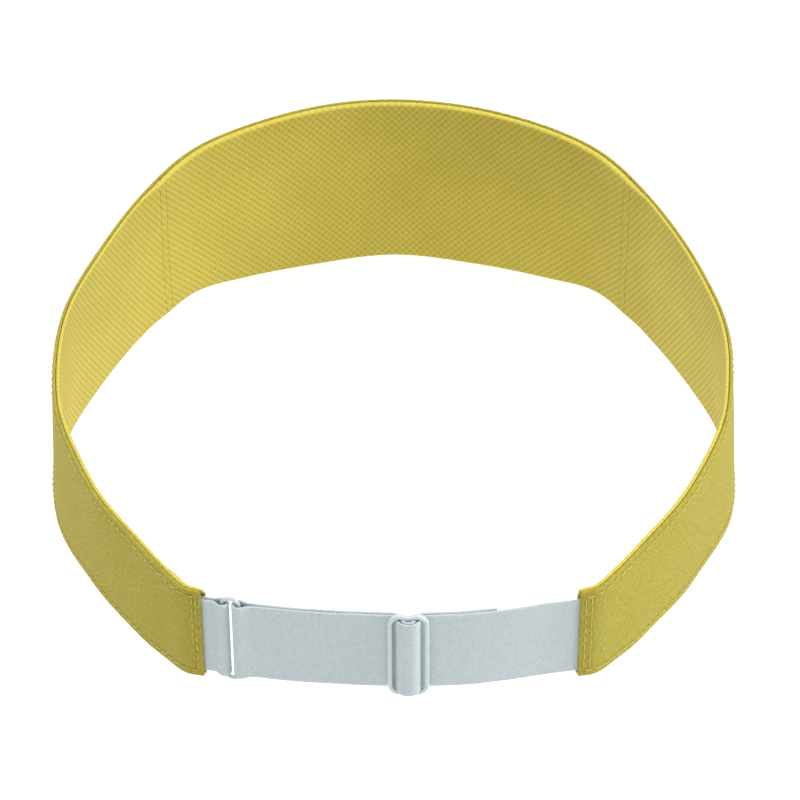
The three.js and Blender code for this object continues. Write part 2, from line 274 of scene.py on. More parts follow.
def make_object(name, verts, faces, look, cloth=None, sharp=50):
    mesh = bpy.data.meshes.new(name)
    mesh.from_pydata((np.asarray(verts) * MM).tolist(), [], [tuple(f) for f in faces])
    mesh.polygons.foreach_set("use_smooth", [True] * len(mesh.polygons))
    if cloth is not None:
        layer = mesh.attributes.new("cloth", "FLOAT_VECTOR", "POINT")
        layer.data.foreach_set("vector", np.asarray(cloth, np.float32).ravel())
    mesh.update()
    mesh.set_sharp_from_angle(angle=math.radians(sharp))
    mesh.materials.append(look)
    obj = bpy.data.objects.new(name, mesh)
    bpy.context.scene.collection.objects.link(obj)
    return obj


def loft(rings, loop=False):
    """Vertices and faces of closed sections, one after the other, with every face turned outward."""
    m, n, _ = rings.shape
    verts = rings.reshape(-1, 3)
    i = np.arange(m if loop else m - 1)[:, None]
    j = np.arange(n)[None, :]
    i2, j2 = (i + 1) % m, (j + 1) % n
    quads = np.stack([i * n + j, i * n + j2, i2 * n + j2, i2 * n + j], -1).reshape(-1, 4)
    faces = quads.tolist()
    triangles = [quads[:, [0, 1, 2]], quads[:, [0, 2, 3]]]
    if not loop:
        for cap in (np.arange(n)[::-1], (m - 1) * n + np.arange(n)):
            faces.append(cap.tolist())
            triangles.append(np.stack([np.full(n - 2, cap[0]), cap[1:-1], cap[2:]], -1))
    t = np.vstack(triangles)
    if np.einsum("ij,ij->", verts[t[:, 0]], np.cross(verts[t[:, 1]], verts[t[:, 2]])) < 0:
        faces = [face[::-1] for face in faces]
    return verts, faces


def joined(parts):
    """Several (vertices, faces) as one."""
    verts, faces, count = [], [], 0
    for v, f in parts:
        verts.append(np.asarray(v))
        faces += [[k + count for k in face] for face in f]
        count += len(v)
    return np.vstack(verts), faces


# ---------------------------------------------------------------- materials


def material(name):
    mat = bpy.data.materials.new(name)
    mat.use_nodes = True
    mat.node_tree.nodes.clear()
    return mat


class Nodes:
    """Short calls for building a node tree."""

    def __init__(self, mat):
        self.tree = mat.node_tree
        self.out = self.node("ShaderNodeOutputMaterial")
        self.bsdf = self.node("ShaderNodeBsdfPrincipled")
        self.link(self.bsdf.outputs[0], self.out.inputs[0])

    def node(self, kind, **values):
        n = self.tree.nodes.new(kind)
        for key, value in values.items():
            setattr(n, key, value)
        return n

    def link(self, a, b):
        self.tree.links.new(a, b)

    def put(self, value, socket):
        if isinstance(value, (int, float, tuple)):
            socket.default_value = value
        else:
            self.link(value, socket)

    def math(self, operation, a, b=0.0):
        n = self.node("ShaderNodeMath", operation=operation)
        self.put(a, n.inputs[0])
        self.put(b, n.inputs[1])
        return n.outputs[0]

    def cloth(self):
        """The cloth's own flat coordinates in millimetres: the vector, how far along and how far up."""
        a = self.node("ShaderNodeAttribute", attribute_name="cloth", attribute_type="GEOMETRY")
        s = self.node("ShaderNodeSeparateXYZ")
        self.link(a.outputs["Vector"], s.inputs[0])
        return a.outputs["Vector"], s.outputs[0], s.outputs[1]

    def scaled(self, vector, scale):
        n = self.node("ShaderNodeVectorMath", operation="MULTIPLY")
        self.link(vector, n.inputs[0])
        n.inputs[1].default_value = scale
        return n.outputs[0]

    def noise(self, vector, scale, detail):
        n = self.node("ShaderNodeTexNoise")
        self.link(vector, n.inputs["Vector"])
        n.inputs["Scale"].default_value = scale
        n.inputs["Detail"].default_value = detail
        n.inputs["Roughness"].default_value = 0.5
        return n.outputs["Fac"]

    def ramp(self, value, low, high, to_low=0.0, to_high=1.0):
        n = self.node("ShaderNodeMapRange")
        self.link(value, n.inputs["Value"])
        keys = ("From Min", "From Max", "To Min", "To Max")
        for key, number in zip(keys, (low, high, to_low, to_high)):
            n.inputs[key].default_value = number
        return n.outputs["Result"]

    def mix(self, share, a, b):
        n = self.node("ShaderNodeMix", data_type="RGBA", blend_type="MIX")
        self.put(share, n.inputs["Factor"])
        self.put(a, n.inputs["A"])
        self.put(b, n.inputs["B"])
        return n.outputs["Result"]

    def bump(self, height, distance):
        n = self.node("ShaderNodeBump")
        n.inputs["Distance"].default_value = distance
        n.inputs["Strength"].default_value = 1.0
        self.link(height, n.inputs["Height"])
        return n.outputs["Normal"]

    def set(self, **values):
        for key, value in values.items():
            self.put(value, self.bsdf.inputs[key.replace("_", " ")])


def srgb(r, g, b):
    """A linear colour from 0 to 255 display values."""
    c = np.array([r, g, b]) / 255.0
    lin = np.where(c <= 0.04045, c / 12.92, ((c + 0.055) / 1.055) ** 2.4)
    return (float(lin[0]), float(lin[1]), float(lin[2]), 1.0)


FLECK_TINT = srgb(236, 228, 150)  # of the shell's cloth
RIB_HIGHLIGHT = srgb(244, 228, 124)  # painted highlight on the lining's raised ribs
FOLD_HIGHLIGHT = srgb(238, 220, 96)  # painted highlight on the lining where it rolls over the band's top and faces up
YARN_TINT = srgb(232, 240, 241)  # of the elastic


def waves(n, value, pitch):
    """A cosine of a length, from 0 to 1."""
    turned = n.math("MULTIPLY", value, 2 * math.pi / pitch)
    return n.math("MULTIPLY_ADD", n.math("COSINE", turned), 0.5)  # the third input is 0.5 unless set


def woven(name, light, dark, pitch, roughness, bump, fleck, sheen):
    """A plain woven cloth in two close colours, heathered along its threads, with a faint cast."""
    mat = material(name)
    n = Nodes(mat)
    vector, along, up = n.cloth()
    warp = waves(n, along, pitch)
    weft = waves(n, up, pitch)
    over = n.math("ABSOLUTE", n.math("SUBTRACT", warp, weft))
    warp_tone = n.noise(n.scaled(vector, (2.6, 0.7, 1)), 1.0, 3)
    weft_tone = n.noise(n.scaled(vector, (0.7, 2.6, 1)), 1.0, 3)
    tone = n.mix(over, warp_tone, weft_tone)
    tone_value = n.ramp(tone, 0.30, 0.70)
    colour = n.mix(tone_value, dark, light)
    grain = n.noise(vector, 2.6, 2)
    colour = n.mix(n.ramp(grain, 0.60, 0.72, 0, fleck), colour, FLECK_TINT)
    cast = n.noise(vector, 0.05, 2)
    colour = n.mix(n.ramp(cast, 0.35, 0.65, 0, 0.10), colour, dark)
    height = n.math("ADD", n.math("MULTIPLY", over, 0.6), n.math("MULTIPLY", grain, 0.9))
    n.set(Base_Color=colour, Roughness=roughness, Normal=n.bump(height, bump))
    n.set(Sheen_Weight=sheen, Sheen_Roughness=0.5, Specular_IOR_Level=0.25)
    return mat


DOT_ALONG, DOT_UP = 2.0, 2.15  # pitch of the lining's dimples
RIB_TURN = 45.0  # within this far of the middle the lining's two families of ribs change over


def mesh_cloth(name, light, dark):
    """The lining: a knitted mesh with rows of dimples, with painted shade in the dimples and painted
    highlight on the ribs and the rolled top.
    """
    mat = material(name)
    n = Nodes(mat)
    vector, along, up = n.cloth()
    a = n.math("MULTIPLY", along, 2 * math.pi / DOT_ALONG)
    b = n.math("MULTIPLY", up, 2 * math.pi / DOT_UP)
    lattice = n.math("MULTIPLY", n.math("COSINE", a), n.math("COSINE", b))
    dimple = n.ramp(lattice, -0.1, -1.0)
    left = n.ramp(along, -RIB_TURN, RIB_TURN)
    rib = n.mix(left, n.math("COSINE", n.math("ADD", a, b)), n.math("COSINE", n.math("SUBTRACT", a, b)))
    # Painted shade: the dimples between the ribs are mixed towards the darker colour.
    colour = n.mix(n.math("MULTIPLY", dimple, 0.5), light, dark)
    # Painted highlight: the raised ribs are mixed towards a lighter yellow.
    colour = n.mix(n.ramp(rib, 0.0, 1.0, 0, 0.3), colour, RIB_HIGHLIGHT)
    grain = n.noise(vector, 2.4, 3)
    colour = n.mix(n.ramp(grain, 0.35, 0.70, 0, 0.35), colour, dark)
    cast = n.noise(vector, 0.06, 2)
    colour = n.mix(n.ramp(cast, 0.35, 0.65, 0, 0.12), colour, dark)
    # Painted highlight: faces of the lining that look up, as its rolled top edge does, are mixed towards a
    # lighter yellow.
    facing = n.node("ShaderNodeSeparateXYZ")
    n.link(n.node("ShaderNodeNewGeometry").outputs["Normal"], facing.inputs[0])
    colour = n.mix(n.ramp(facing.outputs[2], 0.35, 0.85, 0, 0.6), colour, FOLD_HIGHLIGHT)
    fibre = n.noise(n.scaled(vector, (1, 3, 1)), 2.0, 3)
    n.set(Base_Color=colour, Roughness=0.85, Normal=n.bump(fibre, 0.00012))
    n.set(Sheen_Weight=0.12, Sheen_Roughness=0.5, Specular_IOR_Level=0.25)
    return mat


def thread_cloth(name, colour, dark):
    """Sewing thread: twisted plies and a slight shine."""
    mat = material(name)
    n = Nodes(mat)
    vector, along, round_it = n.cloth()
    slant = n.math("ADD", n.math("MULTIPLY", along, 1.4), n.math("MULTIPLY", round_it, 0.16))
    twist = waves(n, slant, 0.5)
    # Painted shade: the grooves between the twisted plies are mixed towards the darker colour.
    n.set(Base_Color=n.mix(n.ramp(twist, 0.2, 0.8), dark, colour), Roughness=0.7)
    n.set(Normal=n.bump(twist, 0.00006), Specular_IOR_Level=0.2)
    return mat


def elastic_cloth(name, light, dark):
    """Knitted elastic: fine ribs along it, cross yarns, and a heathered grain."""
    mat = material(name)
    n = Nodes(mat)
    vector, along, up = n.cloth()
    rib = waves(n, up, RIB)
    cross = waves(n, along, 0.42)
    yarn = n.noise(n.scaled(vector, (2.4, 0.8, 1)), 1.0, 3)
    grain = n.noise(vector, 3.2, 3)
    colour = n.mix(n.ramp(yarn, 0.25, 0.75), dark, light)
    colour = n.mix(n.ramp(grain, 0.42, 0.70, 0, 0.35), colour, YARN_TINT)
    # Painted shade: the valleys between the ribs are mixed a little towards the darker colour.
    colour = n.mix(n.math("MULTIPLY", n.math("SUBTRACT", 1.0, rib), 0.08), colour, dark)
    height = n.math("ADD", n.math("MULTIPLY", cross, 0.35), n.math("MULTIPLY", grain, 0.9))
    n.set(Base_Color=colour, Roughness=0.78, Normal=n.bump(height, 0.00007))
    n.set(Sheen_Weight=0.15, Sheen_Roughness=0.5, Specular_IOR_Level=0.3)
    return mat


def plastic(name, colour, dark, roughness, bump):
    """Moulded plastic with a faint grain, slight mottling and rubbed patches."""
    mat = material(name)
    n = Nodes(mat)
    place = n.node("ShaderNodeTexCoord").outputs["Object"]
    mottle = n.noise(place, 260, 2)
    rub = n.noise(place, 90, 3)
    fine = n.noise(place, 2400, 2)
    n.set(Base_Color=n.mix(n.ramp(mottle, 0.35, 0.65, 0, 0.35), colour, dark))
    n.set(Roughness=n.ramp(rub, 0.35, 0.7, roughness - 0.06, roughness + 0.14))
    n.set(Normal=n.bump(fine, bump))
    n.set(Specular_IOR_Level=0.5, Coat_Weight=0.15, Coat_Roughness=0.2)
    return mat


YELLOW_LIGHT, YELLOW_DARK = srgb(199, 188, 80), srgb(162, 149, 48)
shell_mat = woven("shell_fabric_look", YELLOW_LIGHT, YELLOW_DARK, 0.55, 0.88, 0.00009, 0.5, 0.04)
lining_mat = mesh_cloth("lining_mesh_look", srgb(210, 194, 82), srgb(157, 139, 41))
buckram_mat = woven("buckram_look", srgb(236, 232, 220), srgb(204, 198, 180), 1.1, 0.8, 0.0002, 0.2, 0.0)
thread_mat = thread_cloth("thread_look", srgb(240, 226, 124), srgb(216, 200, 98))
elastic_mat = elastic_cloth("elastic_look", srgb(214, 225, 229), srgb(194, 207, 211))
slider_mat = plastic("slider_look", srgb(222, 232, 233), srgb(206, 217, 219), 0.28, 0.000004)
board_mat = plastic("brim_board_look", srgb(240, 240, 236), srgb(224, 224, 220), 0.5, 0.00001)

# ---------------------------------------------------------------- band panels

COLUMN_STEP = 0.4
ROW_STEP = 0.36
EDGE_ROLL = 0.22  # radius of a turned panel end
STITCH_PITCH = 2.7
TOP_ROW = 1.7  # stitched this far below the top edge
LOWER_ROW = 2.0  # and this far above the lower edge
END_ROWS = {1: (1.1, 2.1), -1: (1.2, 2.7)}  # rows across the band's ends, from each end
SEAM_ROW = 2.4  # beside each panel seam
LINING_TURN = math.radians(7)  # of the side panels' cloth
LINING_EDGE_SHIFT = 0.4  # along the band, between the rise of the shell's edge and of the lining's
EDGE_ROUND = 0.75  # at most, of a panel's long edges
EDGE_STEPS = 9
LATTICE_HEIGHT = 0.12
# Depth and width of what sewing presses into the cloth, evenly and at the stitches' holes.
ROW_GROOVE, ROW_PUCKER = (0.10, 0.5), (0.12, 0.6)
END_GROOVE, END_PUCKER, END_SWELL = (0.10, 0.4), (0.08, 0.5), (0.07, 0.5)
SEAM_GROOVE, SEAM_PUCKER, SEAM_CREASE = (0.08, 0.4), (0.08, 0.5), (0.10, 0.8)
THREAD_TRIM = 1.0  # a row stops this far from each end of its panel
SHELL_SINK = 0.05  # threads lie this deep in the shell
LINING_SINK = 0.06


def end_rounding(distance):
    """How far a panel's face falls back where its end is turned in."""
    d = np.clip(distance, 0, EDGE_ROLL)
    return EDGE_ROLL - np.sqrt(np.maximum(EDGE_ROLL**2 - (EDGE_ROLL - d) ** 2, 0))


def groove(distance, depth, width):
    return depth * np.exp(-((distance / width) ** 2))


def puckers(arc):
    """From 0 at the middle of a stitch to 1 at its holes."""
    return (0.5 + 0.5 * np.cos(2 * np.pi * arc / STITCH_PITCH)) ** 3


def relief(arc, z, station, lower, top, lining):
    """How far sewing pulls a face in."""
    depth = np.zeros_like(z)
    if not lining:
        pulled = puckers(arc) * (0.75 + 0.35 * np.sin(arc / 4.7))
        for row in (top - TOP_ROW, lower + LOWER_ROW):
            depth = depth + groove(z - row, *ROW_GROOVE) + groove(z - row, *ROW_PUCKER) * pulled
        side = np.where(station > 0, 1, -1)
        end_arc = plan_arcs[-1]
        for k in range(2):
            row = np.where(side > 0, END_ROWS[1][k], END_ROWS[-1][k])
            across = end_arc - np.abs(arc) - row
            depth = depth + groove(across, *END_GROOVE) + groove(across, *END_PUCKER) * puckers(z)
            depth = depth - groove(across + 0.8, *END_SWELL)
    else:
        across = np.abs(arc) - arc_of(SEAM) - SEAM_ROW
        depth = depth + groove(across, *SEAM_GROOVE) + groove(across, *SEAM_PUCKER) * puckers(z)
        depth = depth - groove(across + SEAM_ROW / 2, *SEAM_CREASE)
    return depth


def grain_of(arc, z, turn):
    """A panel's own coordinates, where its cloth is cut at a turn from the band's direction."""
    c, s = math.cos(turn), math.sin(turn)
    return arc * c + z * s, z * c - arc * s


def lattice(arc, z):
    """The lining's raised diagonals, with dimples between them."""
    a, b = 2 * np.pi * arc / DOT_ALONG, 2 * np.pi * z / DOT_UP
    left = np.clip(0.5 + arc / (2 * RIB_TURN), 0, 1)
    ridges = np.maximum((0.92 - 0.4 * left) * np.cos(a + b), (0.52 + 0.4 * left) * np.cos(a - b))
    return LATTICE_HEIGHT * ridges


def edge_lift(arc):
    """The stitched edge rises and falls a little between stitches."""
    seed = 0.55 + 0.45 * np.sin(arc / 5.3 + 1.0)
    return -0.08 * puckers(arc) * seed + 0.08 * np.sin(arc / 8.7)


def panel(name, start, end, lining):
    turn = LINING_TURN * (np.sign(start) if start * end > 0 else 0) * lining
    arcs = np.linspace(arc_of(start), arc_of(end), int((arc_of(end) - arc_of(start)) / COLUMN_STEP))
    st = station_of(arcs)
    top = top_edge(st) + edge_lift(arcs + (LINING_EDGE_SHIFT if lining else 0))
    low_at = lining_lower_edge if lining else shell_lower_edge
    low = low_at(st)
    rows = int(np.max(top - low) / ROW_STEP)
    gap = lining_gap(st)
    face = -2 * FABRIC - gap if lining else np.zeros_like(gap)
    back = -FABRIC - (gap if lining else 0)
    edge_reach = np.full_like(gap, -FABRIC - 0.1) if lining else np.full_like(gap, -FABRIC - 0.02)
    edge_face = face + pinch(st, top) * lining
    middle, half = (edge_face + edge_reach) / 2, np.abs(edge_face - edge_reach) / 2
    roll = np.minimum(half, EDGE_ROUND)
    to_end = np.minimum(arcs - arcs[0], arcs[-1] - arcs)
    turned = end_rounding(to_end)
    sign = 1 if lining else -1
    ring_out, ring_z = [], []
    for share in np.linspace(0, 1, rows):
        z = low + roll + (top - low - 2 * roll) * share
        pull = relief(arcs, z, st, low, top, lining)
        if lining:
            fade = smoothstep(top - z, 0.7, 1.4) * smoothstep(z - low, 0.5, 1.2)
            fade = fade * smoothstep(to_end, 0.1, 0.6)
            pull = 0.6 * pull - lattice(*grain_of(arcs, z, turn)) * fade
        ring_out.append(face + pinch(st, z) * lining + sign * (pull + turned))
        ring_z.append(z)
    for angle in np.linspace(0, math.pi, EDGE_STEPS)[1:]:
        ring_out.append(middle - sign * (half - turned) * math.cos(angle))
        ring_z.append(top - roll + roll * math.sin(angle))
    for share in (0.02, 0.04, 0.07, 0.5, 0.93, 0.96, 0.98):
        z = top - roll - 0.4 + (low - top + 2 * roll + 0.8) * share
        ring_out.append(back + pinch(st, z) * lining - sign * turned)
        ring_z.append(z)
    for angle in np.linspace(math.pi, 0, EDGE_STEPS)[:-1]:
        ring_out.append(middle - sign * (half - turned) * math.cos(angle))
        ring_z.append(low + roll - roll * math.sin(angle))
    out, z = np.stack(ring_out, 1), np.stack(ring_z, 1)
    stations = np.broadcast_to(st[:, None], out.shape)
    rings = band_place(stations, out, z)
    if lining:
        rings = rings[:, ::-1]
        out, z = out[:, ::-1], z[:, ::-1]
    cloth = np.stack([*grain_of(np.broadcast_to(arcs[:, None], z.shape), z, turn), out], -1)
    verts, faces = loft(rings[:, ::-1])
    look = lining_mat if lining else shell_mat
    obj = make_object(name, verts, faces, look, cloth[:, ::-1].reshape(-1, 3))
    length, height = float(arcs[-1] - arcs[0]), float(np.max(top - low))
    area = float(np.mean(top - low) * length)
    return obj, length, height, area


SPANS = {
    "right": (-LAST, -SEAM - SEAM_HALF_GAP),
    "front": (-SEAM + SEAM_HALF_GAP, SEAM - SEAM_HALF_GAP),
    "left": (SEAM + SEAM_HALF_GAP, LAST),
}
for side, (start, end) in SPANS.items():
    for layer, lining, slot in (("shell", False, "shell_fabric"), ("lining", True, "lining_mesh")):
        piece, length, height, area = panel(f"{layer}_panel_{side}", start, end, lining)
        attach(piece, "root")
        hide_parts(f"{layer}_{side}")

# ---------------------------------------------------------------- threads


THREAD_RADIUS = 0.15
THREAD_SIDES = 6
STITCH_SECTIONS = 7
STITCH_SHARE = 0.8  # of the pitch; the rest is the gap between two stitches
STITCH_LIFT = 0.04
STITCH_DIP = 0.14  # how deep a stitch's ends go


def stitches(points, normals):
    """Short arched tubes along a line, each dipping into the cloth at its ends."""
    steps = lengths_along(points)
    parts, cloth = [], []
    count = max(1, int(round(steps[-1] / STITCH_PITCH)))
    for k in range(count):
        middle = (k + 0.5) * steps[-1] / count
        t = np.linspace(-1, 1, STITCH_SECTIONS)
        at = middle + t * STITCH_PITCH * STITCH_SHARE / 2
        p = np.stack([np.interp(at, steps, points[:, c]) for c in range(3)], -1)
        nrm = unit(np.stack([np.interp(at, steps, normals[:, c]) for c in range(3)], -1))
        side = np.cross(unit(np.gradient(p, axis=0)), nrm)
        rise = STITCH_LIFT + THREAD_RADIUS - (THREAD_RADIUS + STITCH_LIFT + STITCH_DIP) * np.abs(t) ** 4
        r = THREAD_RADIUS * np.where(np.abs(t) > 0.99, 0.45, 1.0) * rng.uniform(0.92, 1.08)
        angle = np.linspace(0, 2 * np.pi, THREAD_SIDES, endpoint=False)
        ring = (
            (p + nrm * rise[:, None])[:, None, :]
            + side[:, None, :] * (r[:, None] * np.cos(angle))[..., None]
            + nrm[:, None, :] * (0.8 * r[:, None] * np.sin(angle))[..., None]
        )
        parts.append(loft(ring))
        a = np.broadcast_to(at[:, None], (STITCH_SECTIONS, THREAD_SIDES))
        b = np.broadcast_to(angle[None, :], (STITCH_SECTIONS, THREAD_SIDES))
        cloth.append(np.stack([a, b, np.zeros_like(a)], -1).reshape(-1, 3))
    return parts, cloth


def thread_object(name, runs, material_used, body):
    parts, cloth = [], []
    for run_parts, run_cloth in runs:
        parts += run_parts
        cloth += run_cloth
    verts, faces = joined(parts)
    obj = make_object(name, verts, faces, material_used, np.vstack(cloth), 80)
    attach(obj, body)


def on_band(stations, z, lining):
    """A line on one face of the band, with the face's outward normals."""
    gap = lining_gap(stations)
    if lining:
        out = -2 * FABRIC - gap + pinch(stations, z) + LINING_SINK
    else:
        out = np.zeros_like(gap) - SHELL_SINK
    line = band_place(stations, out, z)
    further = band_place(stations, out + (-1 if lining else 1), z)
    return line, unit(further - line)


def along_band(start, end, height):
    arcs = np.arange(arc_of(start) + THREAD_TRIM, arc_of(end) - THREAD_TRIM, 0.5)
    st = station_of(arcs)
    return stitches(*on_band(st, height(st), False))


def up_band(arc, low, high, lining):
    z = np.linspace(low, high, 80)
    st = np.full_like(z, station_of(arc))
    return stitches(*on_band(st, z, lining))


top_rows, lower_rows, lining_rows, end_rows = [], [], [], []
for start, end in SPANS.values():
    top_rows.append(along_band(start, end, lambda s: top_edge(s) - TOP_ROW))
    lower_rows.append(along_band(start, end, lambda s: shell_lower_edge(s) + LOWER_ROW))
for sign in (1, -1):
    for row in END_ROWS[sign]:
        arc = sign * (plan_arcs[-1] - row)
        st = float(station_of(arc))
        low, high = float(lining_lower_edge(st)) + 2.2, float(top_edge(st)) - 2.0
        end_rows.append(up_band(arc, low, high, False))
        end_rows.append(up_band(arc, low, high, True))
    arc = sign * (float(arc_of(SEAM)) + SEAM_ROW)
    st = float(station_of(arc))
    low, high = float(lining_lower_edge(st)) + 1, float(top_edge(st)) - 1
    lining_rows.append(up_band(arc, low, high, True))
thread_object("thread_top", top_rows, thread_mat, "root")
thread_object("thread_lower", lower_rows, thread_mat, "root")
thread_object("thread_lining", lining_rows, thread_mat, "root")
thread_object("thread_ends", end_rows, thread_mat, "root")

# ---------------------------------------------------------------- brim

corner = band_xy(np.array([BRIM_END + 0.04]), RIM_CORNER_WIDTH)[0]
BRIM_COLUMNS = 220
BRIM_ROWS = 90
BRIM_SEW_ROWS = (3.4, 9.5, 15.5, 21.5, 27.5)  # lines of topstitching, from the rim
BRIM_SEAM_SHARE = 0.045  # of the brim's length, at the rim
BRIM_THREAD_SINK = 0.18
BRIM_HALF_ARC = 130.0  # about half the rim, to space the puckers
BRIM_GROOVE, BRIM_PUCKER = (0.16, 0.6), (0.12, 0.9)
BRIM_WAVE = 0.10


def rim_point(across):
    t = np.abs(across)[..., None]
    p0, p1, p2, p3 = np.array(RIM[0]), np.array(RIM[1]), np.array(RIM[2]), corner
    p = (1 - t) ** 3 * p0 + 3 * (1 - t) ** 2 * t * p1 + 3 * (1 - t) * t**2 * p2 + t**3 * p3
    return p * np.stack([np.sign(across), np.ones_like(across)], -1)


def brim_xy(across, out):
    root = band_xy(across * BRIM_END, -BRIM_SEAM_INSET)
    return root + (rim_point(across) - root) * out[..., None]


def brim_length(across):
    root = band_xy(across * BRIM_END, -BRIM_SEAM_INSET)
    return np.linalg.norm(rim_point(across) - root, axis=-1)


def brim_relief(across, from_rim):
    length = brim_length(across)
    arc = across * BRIM_HALF_ARC
    depth = np.zeros_like(from_rim)
    for row in BRIM_SEW_ROWS:
        alive = smoothstep(length, row + 4, row + 9)
        depth = depth + alive * groove(from_rim - row, *BRIM_GROOVE)
        depth = depth + alive * groove(from_rim - row, *BRIM_PUCKER) * puckers(arc)
    return depth - BRIM_WAVE * np.sin(across * 9.0 + 0.7) * np.sin(from_rim / 11.0)


def brim_cover(name, node, upper):
    across = np.linspace(-1, 1, BRIM_COLUMNS)
    seam = 1 - BRIM_SEAM_SHARE
    rows = np.r_[np.linspace(0, seam, BRIM_ROWS), np.linspace(seam, 1, 10)[1:]]
    a, o = np.meshgrid(across, rows, indexing="ij")
    xy = brim_xy(a, o)
    from_rim = (1 - o) * brim_length(a)
    base = brim_height(xy[..., 0], xy[..., 1])
    pull = brim_relief(a, from_rim)
    closing = smoothstep(o, 1 - BRIM_SEAM_SHARE, 1)
    edge = end_rounding(from_rim)
    if upper:
        face = base - pull - edge
        back = base - FABRIC
        back = np.minimum(back, face - 0.1)
    else:
        depth = FABRIC + GAP + BOARD + GAP - (BOARD + GAP) * closing
        back = base - depth
        face = back - FABRIC + pull + edge
    face_points = np.concatenate([xy, face[..., None]], -1)
    back_points = np.concatenate([xy, back[..., None]], -1)[:, ::-1]
    rings = np.concatenate([face_points, back_points[:, ::6]], 1)
    flat = np.concatenate([np.stack([xy[..., 0], xy[..., 1], face], -1), back_points[:, ::6]], 1)
    if upper:
        rings, flat = rings[:, ::-1], flat[:, ::-1]
    verts, faces = loft(rings)
    obj = make_object(name, verts, faces, shell_mat, flat.reshape(-1, 3))
    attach(obj, "root")
    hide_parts(node)


brim_cover("brim_top_cloth", "brim_cover_top", True)
brim_cover("brim_lower_cloth", "brim_cover_bottom", False)

brim_runs = []
for row in BRIM_SEW_ROWS:
    across = np.linspace(-1, 1, 1200)
    length = brim_length(across)
    across = across[length > row + 6]
    length = length[length > row + 6]
    xy = brim_xy(across, 1 - row / length)
    base = brim_height(xy[:, 0], xy[:, 1])
    closing = smoothstep(1 - row / length, 1 - BRIM_SEAM_SHARE, 1)
    lower = base - (2 * FABRIC + GAP + BOARD + GAP) + (BOARD + GAP) * closing
    normal = np.tile([0, -math.sin(BRIM_PITCH), math.cos(BRIM_PITCH)], (len(xy), 1))
    brim_runs.append(stitches(np.c_[xy, base - BRIM_THREAD_SINK], normal))
    brim_runs.append(stitches(np.c_[xy, lower + BRIM_THREAD_SINK], -normal))
thread_object("thread_brim", brim_runs, thread_mat, "root")

# ---------------------------------------------------------------- elastic


def path_side(path):
    """The direction to the right of a path in plan."""
    tangent = unit(np.gradient(path, axis=0))
    return np.stack([tangent[:, 1], -tangent[:, 0]], -1)


def offset_path(path, offset):
    return path + offset * path_side(path)


def even_path(path, step):
    steps = lengths_along(path)
    at = np.linspace(0, steps[-1], max(3, int(steps[-1] / step)))
    return np.stack([np.interp(at, steps, path[:, c]) for c in range(2)], -1), at


RIB_DEPTH = 0.014
EDGE_CAP = 0.3  # radius of the elastic's rounded edge
RIBBON_ROWS = 112
BEAD_HEIGHT = 0.05  # of the bead along each selvedge
BEAD_INSET, BEAD_WIDTH = 0.9, 0.5
FOLD_RADIUS = 1.38  # of the elastic's centre line round a bar
FOLD_STEPS = 28
PATH_STEP = 0.2


def ribbon(name, path, from_arc, step):
    """A flat elastic on edge along a path in plan, with ribs, beaded selvedges and rounded edges."""
    path, at = even_path(path, step)
    side = path_side(path)
    half = STRAP_WIDTH / 2
    heights = np.linspace(-half + EDGE_CAP, half - EDGE_CAP, RIBBON_ROWS)
    bead = BEAD_HEIGHT * np.exp(-(((half - BEAD_INSET - np.abs(heights)) / BEAD_WIDTH) ** 2))
    ribs = RIB_DEPTH * (np.cos(2 * np.pi * heights / RIB) - 1)
    ribs = ribs * smoothstep(half - np.abs(heights), 1.0, 1.8)
    thick = ELASTIC / 2 + ribs + bead - BEAD_HEIGHT
    cap = np.linspace(0, math.pi, 7)[1:-1]
    front = np.stack([thick, heights], -1)
    over = np.stack([EDGE_CAP * np.cos(cap), half - EDGE_CAP + EDGE_CAP * np.sin(cap)], -1)
    section = np.vstack([front, over, np.stack([-thick, heights], -1)[::-1], -over])
    arc = from_arc + at
    edge_wave = 0.03 * np.sin(arc / 2.9) + 0.02 * np.sin(arc / 1.3 + 1)
    z = STRAP_MIDDLE + section[None, :, 1] + edge_wave[:, None] * np.sign(section[None, :, 1])
    xy = path[:, None, :] + side[:, None, :] * section[None, :, 0, None]
    rings = np.concatenate([xy, z[..., None]], -1)
    cloth = np.stack([
        np.broadcast_to(arc[:, None], z.shape),
        np.broadcast_to(section[None, :, 1], z.shape),
        np.broadcast_to(section[None, :, 0], z.shape),
    ], -1)
    verts, faces = loft(rings[:, ::-1])
    obj = make_object(name, verts, faces, elastic_mat, cloth[:, ::-1].reshape(-1, 3), 60)
    return obj


def fold_round(bar, incoming, wrap=105):
    """A turn round a bar, for a strap that comes from a point and goes back there."""
    heading = math.atan2(bar[1] - incoming[1], bar[0] - incoming[0])
    angle = heading + np.linspace(-math.radians(wrap), math.radians(wrap), FOLD_STEPS)
    return bar + FOLD_RADIUS * np.stack([np.cos(angle), np.sin(angle)], -1)


def hairpin(path, bar):
    """Two layers along a path, joined by a turn round a bar at its end."""
    there, back = offset_path(path, LAYER_PITCH / 2), offset_path(path, -LAYER_PITCH / 2)[::-1]
    return np.vstack([there, fold_round(bar, path[-1]), back])


def smoothed(path, passes):
    """A path in even steps, with its corners averaged out."""
    path = even_path(path, PATH_STEP)[0]
    for _ in range(passes):
        path[1:-1] = (path[:-2] + 2 * path[1:-1] + path[2:]) / 4
    return path


pocket = [POCKET, POCKET + 1, LAST]
left_offset = -(FABRIC + POCKET_ROOM[1] / 2)
right_offset = -(FABRIC + POCKET_ROOM[-1] / 2)
tab_line = catmull([*band_xy(np.array(pocket, float), left_offset), (40.5, 89.15)], 12, False)
tab = ribbon("elastic_tab_loop", smoothed(hairpin(tab_line, RING_TAB_BAR), 9), 0.0, 0.3)
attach(tab, "root")
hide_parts("elastic_tab")

